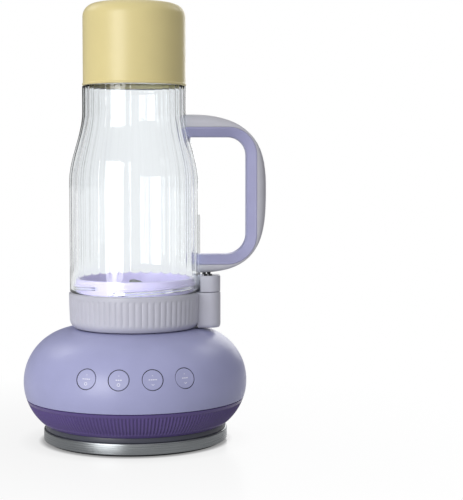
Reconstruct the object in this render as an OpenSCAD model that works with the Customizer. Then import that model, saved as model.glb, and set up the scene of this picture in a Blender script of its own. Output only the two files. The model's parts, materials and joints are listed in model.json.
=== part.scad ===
// Personal tumbler blender: a clear tumbler with a handle stands mouth down on a
// blade base, which drops into the socket of a round motor base and turns to lock.
// Frame: +Z up, the axis of the motor is the Z axis, Z = 0 is the floor under the
// rubber foot, the buttons face -Y and the handle points to +X. Millimetres.

/* [Motor base] */
// Widest radius of the motor base
base_r = 80.2; // [79:0.2:82]
// Radius of the round side, seen in section
side_r = 38; // [37:0.2:38.4]
// Height of the widest ring above the floor
belly_z = 43; // [42.6:0.2:44]
// Height of the seam between the dome and the lower shell
seam_z = 31; // [29:0.5:33]
// Height of the lower shell's bottom edge
skirt_z = 13; // [13:0.5:15]
// Wall of the moulded shells
shell_wall = 2.4; // [2:0.1:2.6]

/* [Foot] */
// Outer radius of the brushed ring under the base
ring_r = 66; // [65:0.5:67]
// Bottom of the brushed ring
ring_low_z = 1.5; // [1:0.25:2]
// Top of the brushed ring
ring_top_z = 9.5; // [9:0.25:10]
// Thickness of the foot's rubber ring
foot_h = 3.5; // [3.5:0.1:3.6]

/* [Buttons] */
// Radius of each round button
button_r = 6.95; // [6.5:0.05:7.1]
// Gap round each button
button_gap = 0.35; // [0.3:0.05:0.5]
// Upward tilt of the buttons
button_tilt = 18.1; // [16:0.1:20]
// Angle between neighbouring buttons, seen from above
button_step = 16.7; // [16.5:0.1:18]
// Button travel
button_travel = 1.0; // [0.8:0.1:1.2]

/* [Socket and lock] */
// Radius of the blade base's spigot
spigot_r = 35; // [34.6:0.1:35.2]
// Reach of the locking lugs beyond the spigot
lug_reach = 3.6; // [3:0.1:3.7]
// Width of one locking lug, as an angle
lug_angle = 24; // [20:1:26]
// Turn that locks the cup
lock_angle = 30; // [26:1:30]
// Number of locking lugs
lug_count = 3; // [3:1:3]

/* [Blade base] */
// Outer radius of the ribbed collar
collar_r = 47.5; // [47.3:0.1:48]
// Height of the collar's top edge
collar_top_z = 106.5; // [106:0.1:106.5]
// How far the collar's tab reaches from the axis
tab_x = 61.2; // [60:0.2:63]
// Width of the tab
tab_w = 30; // [24:1:34]
// Radius of the plug that enters the tumbler's mouth
plug_r = 42.5; // [42:0.1:42.6]
// Height of the plug's top edge
plug_top_z = 117; // [116:0.5:118]
// Floor of the dish under the blades
dish_z = 95; // [94.5:0.5:95.5]

/* [Blades] */
// Reach of the blades from the axis
blade_reach = 30; // [26:1:32]
// Thickness of the blade steel
blade_t = 1.2; // [1:0.1:1.5]
// Radius of the blade shaft
blade_shaft_r = 3.95; // [3.93:0.01:3.97]

/* [Tumbler] */
// Outer radius of the tumbler at its mouth
jar_r = 46.8; // [46.5:0.1:46.9]
// Outer radius of the tumbler's narrow end
jar_neck_r = 37.2; // [36.5:0.1:38]
// Wall of the tumbler
jar_wall = 2.5; // [2.4:0.1:2.6]
// Height of the tumbler's rim, which points down
rim_z = 107.2; // [107.2:0.1:107.4]
// Where the shoulder starts to draw in
shoulder_low_z = 186; // [184:1:190]
// Where the shoulder ends
shoulder_top_z = 236; // [232:1:240]
// Height of the boot's lower edge
boot_low_z = 254.2; // [250:0.2:258]
// Height of the boot's top
boot_top_z = 312; // [308:0.5:314]
// Rounding of the boot's top edge
boot_round = 9.5; // [8:0.5:12]
// Thickness of the soft boot
boot_t = 1.9; // [1.6:0.1:2.2]

/* [Mouth thread] */
// Rise of the tumbler in one turn
thread_lead = 12; // [12:1:12]
// Number of thread starts
thread_starts = 3; // [3:1:3]
// Length of each thread, as an angle
thread_sweep = 110; // [90:5:112]

/* [Handle] */
// How far the handle reaches from the axis
handle_x = 94; // [92:0.5:98]
// Width of the handle
handle_w = 24; // [22:1:27]
// Height of the handle's widest point
handle_mid_z = 181; // [180:0.5:182]
// Height of the handle's upper half
handle_up = 52.8; // [52:0.2:54]
// Height of the handle's lower half
handle_down = 60.5; // [60:0.1:60.5]
// Far edge of the finger gap
gap_x = 78.1; // [77:0.1:79]
// Bottom of the finger gap
gap_low_z = 133.8; // [133:0.1:135]
// Top of the finger gap
gap_top_z = 217.8; // [216:0.1:219]
// Thickness of the inner grip on both arms
grip_t = 7; // [6.6:0.1:7.6]
// Extra thickness of the grip on the handle's upright
grip_more = 2; // [0:0.1:2.4]

/* [Hidden] */
$fn = 128;
CUT = 1;

// Motor base
side_x = base_r - side_r;
top_z = belly_z + side_r;
steel_t = 1.2;
plinth_r = 65;
plinth_in_r = 52;
foot_r = 63.5;
foot_in_r = 50;
cover_z = foot_h;
cover_t = 2.5;
flange_in_r = 42;
shell_lip = 2.5;

// Screws under the base
cover_screw_r = 46;
cover_screw_angle = 45;
boss_r = 4;
cover_screw_top_z = 22;
board_rest_r = 54;
board_rest_h = 4.5;
gland_r = 5.9;
gland_z = 22.5;
gland_in_y = 60;
gland_out_y = base_r - 4.7;

// Buttons
button_x = side_x + side_r * cos(button_tilt);
button_z = belly_z + side_r * sin(button_tilt);
button_back = 3.7;
button_flange_r = 8.2;
button_flange_t = 1;
stem_end = 8.1;
switch_top = stem_end + button_travel + 0.4;
switch_h = 3.6;
board_t = 1.2;
board_depth = switch_top + switch_h;

// Socket
socket_r = 41.5;
socket_in_r = spigot_r + lug_reach + 0.6;
socket_low_z = 60.5;
socket_floor = 2.5;
socket_top_z = top_z - 0.4;
catch_in_r = spigot_r + 0.6;
lug_low_z = 68;
lug_h = 4;
catch_low_z = lug_low_z + lug_h + 0.4;
catch_top_z = 78.5;
lug_first = 20;
guard_r = 12.5;
stop_angle = 6;
interlock_r = spigot_r + 2.4;
interlock_angle = lug_first - lock_angle;
interlock_z = 54.8;

// Motor, from the fan at the bottom to the coupler at the top
shaft_r = 4;
fan_z = 7.2;
fan_r = 27;
bottom_bracket_z = 14;
bracket_t = 3;
commutator_z = 18.5;
commutator_r = 9;
stack_z = 31;
stack_h = 15;
stack_side = 62;
stack_corner_r = 38;
armature_r = 21;
air_gap = 0.6;
coil_r = 22.4;
coil_t = 4.1;
coil_end_h = 4.5;
top_bracket_z = 51.5;
bearing_r = 9;
bearing_h = 5;
tie_r = 33.5;
hang_r = 31;
spline_count = 6;
spline_r = 7.4;
spline_w = 2.4;
spline_play = 0.35;
drive_low_z = 61;
drive_disc_h = 3.5;
drive_top_z = 72.3;

// Blade base
collar_low_z = top_z + 0.4;
collar_in_r = 43.4;
gasket_z = 105.3;
gasket_h = 1.6;
hub_r = 13.1;
hub_wall = 3.9;
hub_top_z = 98.3;
dish_r = 39.8;
dish_round = 12;
plug_low_z = dish_z - 3;
tab_top_z = 106.9;
block_top_z = 118.7;
block_gap_r = 48.2;
tab_round = 3.5;
tab_corner = 9;

// Blade bearing and shaft
housing_r = 13;
bush_r = 8;
bush_bore_r = 4;
housing_low_z = 78;
housing_cap_z = 97.4;
housing_top_z = 100.4;
blade_hub_z = 102.4;
driven_low_z = 65.5;
driven_top_z = 77.5;
driven_r = 11.3;

// Tumbler
jar_end_z = boot_top_z - 2.2;
jar_end_r = jar_neck_r - boot_t - 0.05;
shoulder_steps = 24;
thread_root_r = jar_r - jar_wall;
thread_crest_r = 43.0;
plug_crest_r = 43.7;
plug_thread_z = 110.3;
thread_steps = 22;
thread_first = 5;
thread_half_pitch = thread_lead / thread_starts / 2;

// Handle
handle_cx = 38;
handle_a = handle_x - handle_cx;
handle_up_n = 2.6;
handle_down_n = 3;
outline_steps = 36;
gap_round_low = 14.5;
gap_round_top = 13;
handle_in_x = 24;
root_w = 10;
root_h = 6;
root_x = 56;
root_low_z = 126;
root_top_z = 219.6;
root_top_x = 50;

// ---------- shared shapes ----------

// Ring with a square section, from height z up.
module ring(r_in, r_out, z, h) {
  translate([0, 0, z])
    difference() {
      cylinder(r = r_out, h = h);
      translate([0, 0, -CUT]) cylinder(r = r_in, h = h + 2 * CUT);
    }
}

// Part of a ring, centred on the angle mid.
module ring_part(r_in, r_out, z, h, mid, angle) {
  rotate([0, 0, mid - angle / 2])
    rotate_extrude(angle = angle)
      translate([r_in, z]) square([r_out - r_in, h]);
}

// Copies at equal angles round the axis.
module around(count, first = 0) {
  for (i = [0 : count - 1])
    rotate([0, 0, first + i * 360 / count]) children();
}

// Section of the motor base between two heights, drawn in by inset.
module base_section(inset, low, high) {
  intersection() {
    union() {
      translate([side_x, belly_z]) circle(r = side_r - inset);
      translate([0, belly_z - side_r + inset]) square([side_x, 2 * (side_r - inset)]);
    }
    translate([0, low]) square([base_r, high - low]);
  }
}

// Local +Z points out of the base at a button; angle is measured from the front.
module at_button(angle) {
  rotate([0, 0, angle])
    translate([0, -button_x, button_z])
      rotate([90 - button_tilt, 0, 0]) children();
}

function button_angle(i) = (i - 2.5) * button_step;

// ---------- motor base, outside ----------

module dome_shell() {
  color("#a9aad0")
    union() {
      difference() {
        rotate_extrude()
          difference() {
            base_section(0, seam_z + 0.15, top_z);
            base_section(shell_wall, 0, top_z);
          }
        translate([0, 0, top_z - 3 * shell_wall]) cylinder(r = socket_r + 0.3, h = 4 * shell_wall);
        for (i = [1 : 4])
          at_button(button_angle(i))
            translate([0, 0, -3 * shell_wall]) cylinder(r = button_r + button_gap, h = 6 * shell_wall);
      }
      // Posts that carry the switch board
      for (a = [-2, -1, 0, 1, 2])
        at_button(a * button_step)
          translate([0, 0, -board_depth]) cylinder(r = 1.8, h = board_depth - shell_wall / 2);
    }
}

module lower_shell() {
  color("#5a4b82")
    difference() {
      union() {
        rotate_extrude()
          difference() {
            base_section(0, skirt_z, seam_z);
            base_section(shell_wall, skirt_z + shell_wall, top_z);
            translate([0, skirt_z - CUT]) square([flange_in_r, shell_wall + 2 * CUT]);
          }
        // Lip that locates the dome
        rotate_extrude()
          difference() {
            union() {
              base_section(shell_wall - 0.2, seam_z - shell_lip, seam_z);
              base_section(shell_wall + 0.1, seam_z - CUT, seam_z + shell_lip);
            }
            base_section(shell_wall + 1.4, 0, top_z);
            translate([0, seam_z - shell_lip]) square([side_x, 2 * shell_lip]);
          }
        // Screw bosses
        around(4, cover_screw_angle)
          translate([cover_screw_r, 0, skirt_z]) cylinder(r = boss_r, h = cover_screw_top_z + 1 - skirt_z);
        // Rests for the power board
        for (a = [62, 118])
          rotate([0, 0, a]) translate([board_rest_r, 0, skirt_z]) cylinder(r = 2.5, h = board_rest_h);
      }
      around(4, cover_screw_angle)
        translate([cover_screw_r, 0, skirt_z - CUT])
          cylinder(r = 1.5, h = cover_screw_top_z - skirt_z + CUT);
      // Seat of the cord gland
      translate([0, gland_in_y, gland_z]) rotate([-90, 0, 0]) cylinder(r = gland_r + 0.1, h = 30);
    }
}

module plinth_band() {
  color("#3d404c") ring(plinth_in_r, plinth_r, ring_top_z, skirt_z - ring_top_z);
}

// Spun steel ring with a turned-in top edge.
module steel_ring() {
  color("#c3c7cb")
    rotate_extrude()
      union() {
        translate([ring_r - steel_t, ring_low_z]) square([steel_t, ring_top_z - ring_low_z]);
        translate([ring_r - 6, ring_top_z - steel_t]) square([6, steel_t]);
      }
}

module foot_ring() {
  color("#202226") ring(foot_in_r, foot_r, 0, foot_h);
}

module bottom_cover() {
  color("#2f3138")
    difference() {
      union() {
        translate([0, 0, cover_z]) cylinder(r = ring_r - steel_t - 0.1, h = cover_t);
        ring(plinth_in_r + 1, plinth_in_r + 4, cover_z + cover_t - 0.1, ring_top_z - cover_z - cover_t + 0.1);
        around(4, cover_screw_angle)
          translate([cover_screw_r, 0, cover_z]) cylinder(r = boss_r + 0.6, h = skirt_z - cover_z);
      }
      around(4, cover_screw_angle)
        translate([cover_screw_r, 0, cover_z - CUT]) {
          cylinder(r = 1.7, h = skirt_z);
          cylinder(r = 3.4, h = CUT + 3);
        }
      // Air slots under the fan
      around(12, 15)
        translate([14, -1.6, cover_z - CUT]) cube([24, 3.2, cover_t + 2 * CUT]);
    }
}

module cover_screws() {
  color("#8f9297")
    around(4, cover_screw_angle)
      translate([cover_screw_r, 0, cover_z + 0.6])
        difference() {
          union() {
            cylinder(r = 3.1, h = 2.4);
            cylinder(r = 1.45, h = cover_screw_top_z - cover_z - 1.6);
          }
          translate([0, 0, -CUT]) cylinder(r = 1.4, h = CUT + 1.4, $fn = 6);
        }
}

// Bush in the rear wall that the mains lead would pass through.
module cord_gland() {
  color("#26272c")
    translate([0, gland_in_y, gland_z])
      rotate([-90, 0, 0])
        difference() {
          union() {
            cylinder(r = gland_r, h = gland_out_y - gland_in_y);
            cylinder(r = gland_r + 1.1, h = 1.8);
          }
          translate([0, 0, -CUT]) cylinder(r = 3.6, h = 30);
        }
}

// ---------- socket and lock ----------

// Blocks of one angular width inside the socket's wall, one for each lug.
module lock_ring(low, high, first, angle) {
  reach = 2 * socket_r;
  translate([0, 0, low])
    linear_extrude(height = high - low)
      intersection() {
        difference() {
          circle(r = socket_in_r + 0.2);
          circle(r = catch_in_r);
        }
        around(lug_count, first)
          polygon([[0, 0], [reach * cos(angle / 2), -reach * sin(angle / 2)],
            [reach * cos(angle / 2), reach * sin(angle / 2)]]);
      }
}

module cup_socket() {
  color("#8d8eb4")
    difference() {
      union() {
        rotate([0, 0, lug_first])
          rotate_extrude()
            union() {
              translate([socket_in_r, socket_low_z])
                square([socket_r - socket_in_r, socket_top_z - socket_low_z]);
              translate([guard_r, socket_low_z]) square([socket_r - guard_r, socket_floor]);
              translate([guard_r, socket_low_z]) square([1.8, 6]);
              translate([socket_r - 0.1, 74.5]) square([4.6, 2]);
            }
        // Catches that the lugs turn under, with the gaps that let the lugs in
        lock_ring(catch_low_z, catch_top_z, lug_first + 60, 360 / lug_count - lug_angle - 6);
        // Stops at both ends of the locking turn
        for (side = [-1, 1])
          lock_ring(socket_low_z + 1, catch_low_z + 0.5,
            lug_first + side * (lug_angle / 2 + 1.5 + stop_angle / 2) + (side - 1) / 2 * lock_angle,
            stop_angle);
      }
      // Screw holes from below, and the hole for the interlock pin
      around(4)
        translate([hang_r, 0, socket_low_z - CUT]) cylinder(r = 2, h = CUT + 1.7);
      rotate([0, 0, interlock_angle])
        translate([interlock_r, 0, socket_low_z - CUT]) cylinder(r = 1.6, h = 5);
    }
}

module socket_seal() {
  color("#26272c") ring(socket_r + 0.7, socket_r + 4, 76.5, 1.9);
}

module interlock_switch() {
  color("#1f2937")
    rotate([0, 0, interlock_angle])
      union() {
        translate([interlock_r - 1.6, -4, interlock_z]) cube([11.5, 8, socket_low_z - 0.2 - interlock_z]);
        translate([interlock_r, 0, interlock_z]) cylinder(r = 1.2, h = lug_low_z - 0.4 - interlock_z);
      }
}

// ---------- motor ----------

module motor_top_bracket() {
  color("#9a9da3")
    difference() {
      union() {
        translate([0, 0, top_bracket_z]) cylinder(r = 26, h = bracket_t);
        translate([0, 0, top_bracket_z - 1]) cylinder(r = bearing_r + 2.5, h = bearing_h + 1);
        for (a = [0 : 90 : 270])
          rotate([0, 0, a]) translate([18, -5, top_bracket_z]) cube([18, 10, bracket_t]);
        around(4, 45) {
          translate([18, -5, top_bracket_z]) cube([20, 10, bracket_t]);
          translate([tie_r, 0, stack_z + stack_h]) cylinder(r = 4.2, h = top_bracket_z - stack_z - stack_h + 1);
        }
      }
      translate([0, 0, top_bracket_z - 2]) cylinder(r = bearing_r, h = 10);
      around(4, 45) translate([tie_r, 0, stack_z]) cylinder(r = 2.1, h = 40);
      around(4) translate([hang_r, 0, top_bracket_z - CUT]) cylinder(r = 2.1, h = bracket_t + 2 * CUT);
    }
}

module motor_bottom_bracket() {
  color("#9a9da3")
    difference() {
      union() {
        translate([0, 0, bottom_bracket_z])
          linear_extrude(height = bracket_t)
            difference() {
              union() {
                circle(r = tie_r);
                around(4, 45) translate([tie_r, 0]) circle(r = 5);
              }
              around(4) translate([18, 0]) circle(r = 5);
            }
        translate([0, 0, bottom_bracket_z - 1.5]) cylinder(r = 11, h = bracket_t + 2);
        around(4, 45)
          translate([tie_r, 0, bottom_bracket_z + 1]) cylinder(r = 4.2, h = stack_z - bottom_bracket_z - 1);
      }
      translate([0, 0, bottom_bracket_z - 2]) cylinder(r = bearing_r - 1, h = 10);
      around(4, 45) translate([tie_r, 0, bottom_bracket_z - CUT]) cylinder(r = 2.1, h = 30);
    }
}

module field_stack() {
  color("#6b6f76")
    translate([0, 0, stack_z])
      difference() {
        intersection() {
          translate([-stack_side / 2, -stack_side / 2, 0]) cube([stack_side, stack_side, stack_h]);
          cylinder(r = stack_corner_r, h = stack_h);
        }
        translate([0, 0, -CUT]) cylinder(r = armature_r + air_gap, h = stack_h + 2 * CUT);
        for (a = [0, 180])
          ring_part(armature_r, coil_r + coil_t + 0.4, -CUT, stack_h + 2 * CUT, a, 60);
        around(4, 45) translate([tie_r, 0, -CUT]) cylinder(r = 2.1, h = stack_h + 2 * CUT);
      }
}

// One coil round each pole: two end turns and the legs between them.
module field_windings() {
  color("#b5713a")
    for (side = [90, 270]) {
      for (z = [stack_z - coil_end_h - 0.3, stack_z + stack_h + 0.3])
        ring_part(coil_r, coil_r + coil_t, z, coil_end_h, side, 166);
      for (a = [-72, 72])
        ring_part(coil_r, coil_r + coil_t, stack_z - 0.5, stack_h + 1, side + a, 22);
    }
}

module upper_bearing() {
  color("#d8dadd") ring(shaft_r + 0.05, bearing_r - 0.02, top_bracket_z - 1, bearing_h);
}

module lower_bearing() {
  color("#d8dadd") ring(shaft_r + 0.05, bearing_r - 1.02, bottom_bracket_z - 1.5, bearing_h);
}

module brush_holders() {
  color("#c9a648")
    around(2, 90)
      difference() {
        union() {
          translate([11.5, -4.5, 17.8]) cube([16, 9, 8]);
          translate([13, -4.5, bottom_bracket_z + bracket_t]) cube([12, 9, 1]);
        }
        translate([11, -3.1, 19.2]) cube([15, 6.2, 5.2]);
      }
}

module carbon_brushes() {
  color("#33353a")
    around(2, 90) translate([commutator_r + 0.35, -3, 19.3]) cube([14, 6, 5]);
}

module motor_mounts() {
  color("#26272c")
    around(4)
      translate([hang_r, 0, 0])
        ring(2.2, 5, top_bracket_z + bracket_t + 0.05, socket_low_z - top_bracket_z - bracket_t - 0.1);
}

module hanger_screws() {
  color("#8f9297")
    around(4)
      translate([hang_r, 0, 0]) {
        translate([0, 0, top_bracket_z - 2.8]) cylinder(r = 3.3, h = 2.75);
        translate([0, 0, top_bracket_z - 1]) cylinder(r = 1.9, h = 10.4);
      }
}

module tie_bolts() {
  color("#8f9297")
    around(4, 45)
      translate([tie_r, 0, 0]) {
        translate([0, 0, bottom_bracket_z - 2.8]) cylinder(r = 3.3, h = 2.75);
        translate([0, 0, bottom_bracket_z - 1]) cylinder(r = 1.9, h = 43);
        ring(1.85, 3.3, top_bracket_z + bracket_t + 0.05, 2.4);
      }
}

module armature_stack() {
  color("#777b82")
    difference() {
      translate([0, 0, stack_z]) cylinder(r = armature_r, h = stack_h);
      translate([0, 0, stack_z - CUT]) cylinder(r = shaft_r + 0.02, h = stack_h + 2 * CUT);
      around(12)
        translate([armature_r - 6, -1.2, stack_z - CUT]) cube([8, 2.4, stack_h + 2 * CUT]);
    }
}

module armature_windings() {
  color("#c0743b") {
    ring(shaft_r + 1.5, armature_r - 3, stack_z - 4.4, 4.35);
    ring(shaft_r + 1.5, armature_r - 3, stack_z + stack_h + 0.05, 4.35);
    around(12)
      translate([armature_r - 5.8, -1, stack_z]) cube([4.5, 2, stack_h]);
  }
}

module commutator() {
  color("#c98b52")
    difference() {
      ring(shaft_r + 0.02, commutator_r, commutator_z, 7.6);
      around(12)
        translate([commutator_r - 1, -0.25, commutator_z - CUT]) cube([2, 0.5, 7]);
    }
}

module motor_shaft() {
  color("#d8dadd") translate([0, 0, fan_z + 0.2]) cylinder(r = shaft_r, h = 62.6);
}

module cooling_fan() {
  color("#3a3d45")
    union() {
      ring(shaft_r + 0.02, 8, fan_z, 4.8);
      ring(7.5, fan_r, fan_z + 4, 0.8);
      around(10)
        translate([7.5, -0.6, fan_z]) cube([fan_r - 8, 1.2, 4.2]);
    }
}

// Six-splined star, grown by play for the socket that fits over it.
module spline_star(play, h) {
  linear_extrude(height = h)
    union() {
      circle(r = spline_r - 1.8 + play);
      for (i = [0 : spline_count - 1])
        rotate([0, 0, i * 360 / spline_count])
          translate([0, -spline_w / 2 - play]) square([spline_r + play, spline_w + 2 * play]);
    }
}

module drive_coupler() {
  color("#2b2d33")
    difference() {
      union() {
        translate([0, 0, drive_low_z]) cylinder(r = 10, h = drive_disc_h);
        translate([0, 0, drive_low_z + 1]) spline_star(0, drive_top_z - drive_low_z - 1);
      }
      translate([0, 0, drive_low_z - CUT]) cylinder(r = shaft_r + 0.02, h = 10.5);
    }
}

// ---------- electronics and buttons ----------

module control_board() {
  color("#2f6b46")
    rotate([0, 0, -90 - 40])
      rotate_extrude(angle = 80)
        translate([button_x, button_z])
          rotate([0, 0, button_tilt])
            translate([-board_depth - board_t, -8]) square([board_t, 16]);
}

module key_switches() {
  color("#1f2937")
    for (i = [1 : 4])
      at_button(button_angle(i)) {
        translate([-3, -3, -board_depth]) cube([6, 6, switch_h - 0.6]);
        translate([0, 0, -board_depth]) cylinder(r = 1.7, h = switch_h);
      }
}

module power_board() {
  color("#2f6b46")
    union() {
      ring_part(44, 59, skirt_z + board_rest_h, 1.6, 90, 78);
      translate([0, 0, skirt_z + board_rest_h + 1.5]) {
        rotate([0, 0, 76]) translate([51, 0, 0]) cylinder(r = 5, h = 14);
        rotate([0, 0, 64]) translate([51, 0, 0]) cylinder(r = 3.2, h = 10);
        rotate([0, 0, 90]) translate([46, -6, 0]) cube([9, 12, 9]);
        rotate([0, 0, 112]) translate([46, -7, 0]) cube([10, 14, 12]);
      }
    }
}

module button(i) {
  color("#a3a4cc")
    union() {
      intersection() {
        at_button(button_angle(i))
          translate([0, 0, -button_back]) cylinder(r = button_r, h = 2 * button_back);
        rotate_extrude() base_section(0.15, 0, top_z);
      }
      at_button(button_angle(i)) {
        translate([0, 0, -button_back - button_flange_t])
          cylinder(r = button_flange_r, h = button_flange_t);
        translate([0, 0, -stem_end]) cylinder(r = 2.2, h = stem_end - button_back);
      }
    }
}

module button_1() { button(1); }
module button_2() { button(2); }
module button_3() { button(3); }
module button_4() { button(4); }

// ---------- blade base ----------

module bearing_housing() {
  color("#d5d6da")
    rotate_extrude()
      difference() {
        union() {
          translate([0, housing_low_z]) square([housing_r, housing_top_z - housing_low_z]);
          translate([0, hub_top_z + 0.4]) square([hub_r + hub_wall, housing_top_z - hub_top_z - 0.4]);
        }
        translate([0, housing_low_z - CUT]) square([bush_r, housing_cap_z - housing_low_z + CUT]);
        translate([0, housing_low_z]) square([bush_bore_r + 0.3, housing_top_z]);
      }
}

module blade_bushes() {
  color("#b08d57") {
    ring(bush_bore_r, bush_r - 0.02, housing_low_z + 0.5, 6.5);
    ring(bush_bore_r, bush_r - 0.02, housing_low_z + 10, 6);
  }
}

module blade_seal() {
  color("#26272c") ring(bush_bore_r, bush_r - 0.02, housing_cap_z - 3.2, 3.1);
}

// Outline of the tab seen from above, and its side with the rounded lower corner.
module tab_shape(low, high, width) {
  intersection() {
    translate([0, 0, low])
      linear_extrude(height = high - low)
        union() {
          translate([0, -width / 2]) square([tab_x - tab_corner, width]);
          translate([0, -width / 2 + tab_corner]) square([tab_x, width - 2 * tab_corner]);
          for (s = [-1, 1])
            translate([tab_x - tab_corner, s * (width / 2 - tab_corner)]) circle(r = tab_corner);
        }
    translate([0, width, 0])
      rotate([90, 0, 0])
        linear_extrude(height = 2 * width)
          union() {
            translate([0, collar_low_z]) square([tab_x - tab_round, block_top_z]);
            translate([0, collar_low_z + tab_round]) square([tab_x, block_top_z]);
            translate([tab_x - tab_round, collar_low_z + tab_round]) circle(r = tab_round);
          }
  }
}

module blade_collar() {
  corner = 6;
  color("#b3b2bf")
    difference() {
      union() {
        rotate_extrude()
          union() {
            translate([0, collar_low_z]) square([collar_r - corner, collar_top_z - collar_low_z]);
            translate([0, collar_low_z + corner])
              square([collar_r, collar_top_z - collar_low_z - corner]);
            translate([collar_r - corner, collar_low_z + corner]) circle(r = corner);
          }
        tab_shape(collar_low_z, tab_top_z, tab_w);
      }
      // Hollow for the blade base, rebate for the gasket, hole for the spigot
      translate([0, 0, collar_low_z + 2.5]) cylinder(r = collar_in_r, h = 40);
      translate([0, 0, 105]) cylinder(r = jar_r - 0.2, h = 1.6);
      translate([0, 0, 106.5]) cylinder(r = collar_r, h = 2);
      translate([0, 0, collar_low_z - CUT]) cylinder(r = spigot_r + 0.1, h = 10);
    }
}

// Upper piece of the tab, behind the tumbler's wall and under the handle.
module tab_block() {
  color("#b3b2bf")
    difference() {
      tab_shape(tab_top_z, block_top_z, tab_w - 4);
      translate([0, 0, tab_top_z - CUT]) cylinder(r = block_gap_r, h = 20);
    }
}

// Section of one thread rib, between its root and its crest.
function rib_section(root_r, crest_r) =
  crest_r > root_r
    ? [[root_r, -1.1], [crest_r, -0.45], [crest_r, 0.45], [root_r, 1.1]]
    : [[root_r, 1.1], [crest_r, 0.45], [crest_r, -0.45], [root_r, -1.1]];

// One helical rib from height z, rising as it turns anticlockwise seen from above.
module thread_rib(root_r, crest_r, z) {
  section = rib_section(root_r, crest_r);
  points = [
    for (i = [0 : thread_steps])
      let (a = thread_sweep * i / thread_steps)
        for (p = section) [p.x * cos(a), p.x * sin(a), z + p.y + thread_lead * a / 360]
  ];
  last = 4 * thread_steps;
  polyhedron(
    points = points,
    faces = concat(
      [[3, 2, 1, 0]],
      [[last, last + 1, last + 2, last + 3]],
      [for (i = [0 : thread_steps - 1], k = [0 : 3])
        [4 * i + (k + 1) % 4, 4 * (i + 1) + (k + 1) % 4, 4 * (i + 1) + k, 4 * i + k]]
    )
  );
}

module blade_base() {
  color("#a2a1cf")
    union() {
      rotate_extrude()
        difference() {
          union() {
            translate([hub_r, plug_low_z]) square([plug_r - hub_r, plug_top_z - plug_low_z]);
            translate([plug_r - 3, plug_low_z]) square([collar_in_r - 0.05 - plug_r + 3, 105 - plug_low_z]);
            translate([hub_r, 84]) square([hub_wall, hub_top_z - 84]);
            translate([spigot_r - 2.5, lug_low_z]) square([2.5, plug_low_z - lug_low_z + 1]);
          }
          // Dish round the blades
          difference() {
            union() {
              translate([0, dish_z]) square([dish_r - dish_round, 40]);
              translate([dish_r - dish_round, dish_z + dish_round]) circle(r = dish_round);
              translate([0, dish_z + dish_round]) square([dish_r, 40]);
            }
            translate([hub_r, dish_z - CUT]) square([hub_wall, hub_top_z - dish_z + CUT]);
          }
        }
      // Locking lugs
      around(lug_count, lug_first)
        ring_part(spigot_r - 0.5, spigot_r + lug_reach, lug_low_z, lug_h, 0, lug_angle);
      // Three-start thread
      around(thread_starts, thread_first) thread_rib(plug_r - 0.4, plug_crest_r, plug_thread_z);
    }
}

// ---------- blades ----------

module blade_shaft() {
  color("#cfd2d6")
    union() {
      translate([0, 0, driven_low_z + 8]) cylinder(r = blade_shaft_r, h = 28);
      translate([0, 0, blade_hub_z - 1.5]) cylinder(r = 5.7, h = 1.5);
      translate([0, 0, blade_hub_z - 0.5]) cylinder(r = 2.95, h = 7.2);
    }
}

// Flat two-armed blade; the arms bend by lift degrees at the hub's edge.
module two_arm_blade(z, reach, lift) {
  hub = 8.5;
  difference() {
    union() {
      translate([0, 0, z]) cylinder(r = hub, h = blade_t);
      for (a = [0, 180])
        rotate([0, 0, a])
          translate([6, 0, z])
            rotate([0, -lift, 0])
              linear_extrude(height = blade_t)
                polygon([[0, -5.5], [0.6 * reach, -5.5], [reach - 6, 1], [reach - 8, 4.5], [0, 5.5]]);
    }
    translate([0, 0, z - 5]) cylinder(r = 3.05, h = 12);
  }
}

module lower_blade() {
  color("#d8dadd") two_arm_blade(blade_hub_z, blade_reach, -7);
}

module upper_blade() {
  color("#d8dadd")
    rotate([0, 0, 90]) two_arm_blade(blade_hub_z + blade_t + 0.03, blade_reach - 6, 32);
}

module blade_nut() {
  z = blade_hub_z + 2 * blade_t + 0.06;
  color("#d8dadd")
    difference() {
      union() {
        translate([0, 0, z]) cylinder(r = 5.4, h = 3.4, $fn = 6);
        translate([0, 0, z]) cylinder(r = 4.2, h = 5);
      }
      translate([0, 0, z - CUT]) cylinder(r = 3.05, h = CUT + 4.4);
    }
}

module driven_coupler() {
  color("#2b2d33")
    difference() {
      translate([0, 0, driven_low_z]) cylinder(r = driven_r, h = driven_top_z - driven_low_z);
      translate([0, 0, driven_low_z - CUT]) spline_star(spline_play, 8.5);
      translate([0, 0, driven_low_z + 7.4]) cylinder(r = blade_shaft_r + 0.02, h = 10);
    }
}

module rim_gasket() {
  color("#c9c9d2") ring(plug_r + 0.9, jar_r - 0.6, gasket_z, gasket_h);
}

// ---------- tumbler ----------

// Radius of the tumbler's outside at the fraction t of the shoulder.
function shoulder_r(t) = jar_r - (jar_r - jar_neck_r) * t * t * (3 - 2 * t);

// Outside of the tumbler drawn in by inset, up to the height end_z.
module jar_section(inset, low_z, end_z, end_r) {
  span = shoulder_top_z - shoulder_low_z;
  polygon(concat(
    [[0, low_z], [jar_r - inset, low_z]],
    [for (i = [0 : shoulder_steps])
      [shoulder_r(i / shoulder_steps) - inset, shoulder_low_z + span * i / shoulder_steps]],
    [[jar_neck_r - inset, boot_low_z], [end_r, boot_low_z + (inset > 0 ? 2 : 0)],
     [end_r, end_z - 7], [end_r - 7, end_z], [0, end_z]]
  ));
}

// Block that carries one arm of the handle, grown by play for its pocket.
module handle_root(x_out, z, play) {
  translate([jar_neck_r - 3, -root_w / 2 - play, z - play])
    cube([x_out - jar_neck_r + 3 + play, root_w + 2 * play, root_h + 2 * play]);
}

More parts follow.
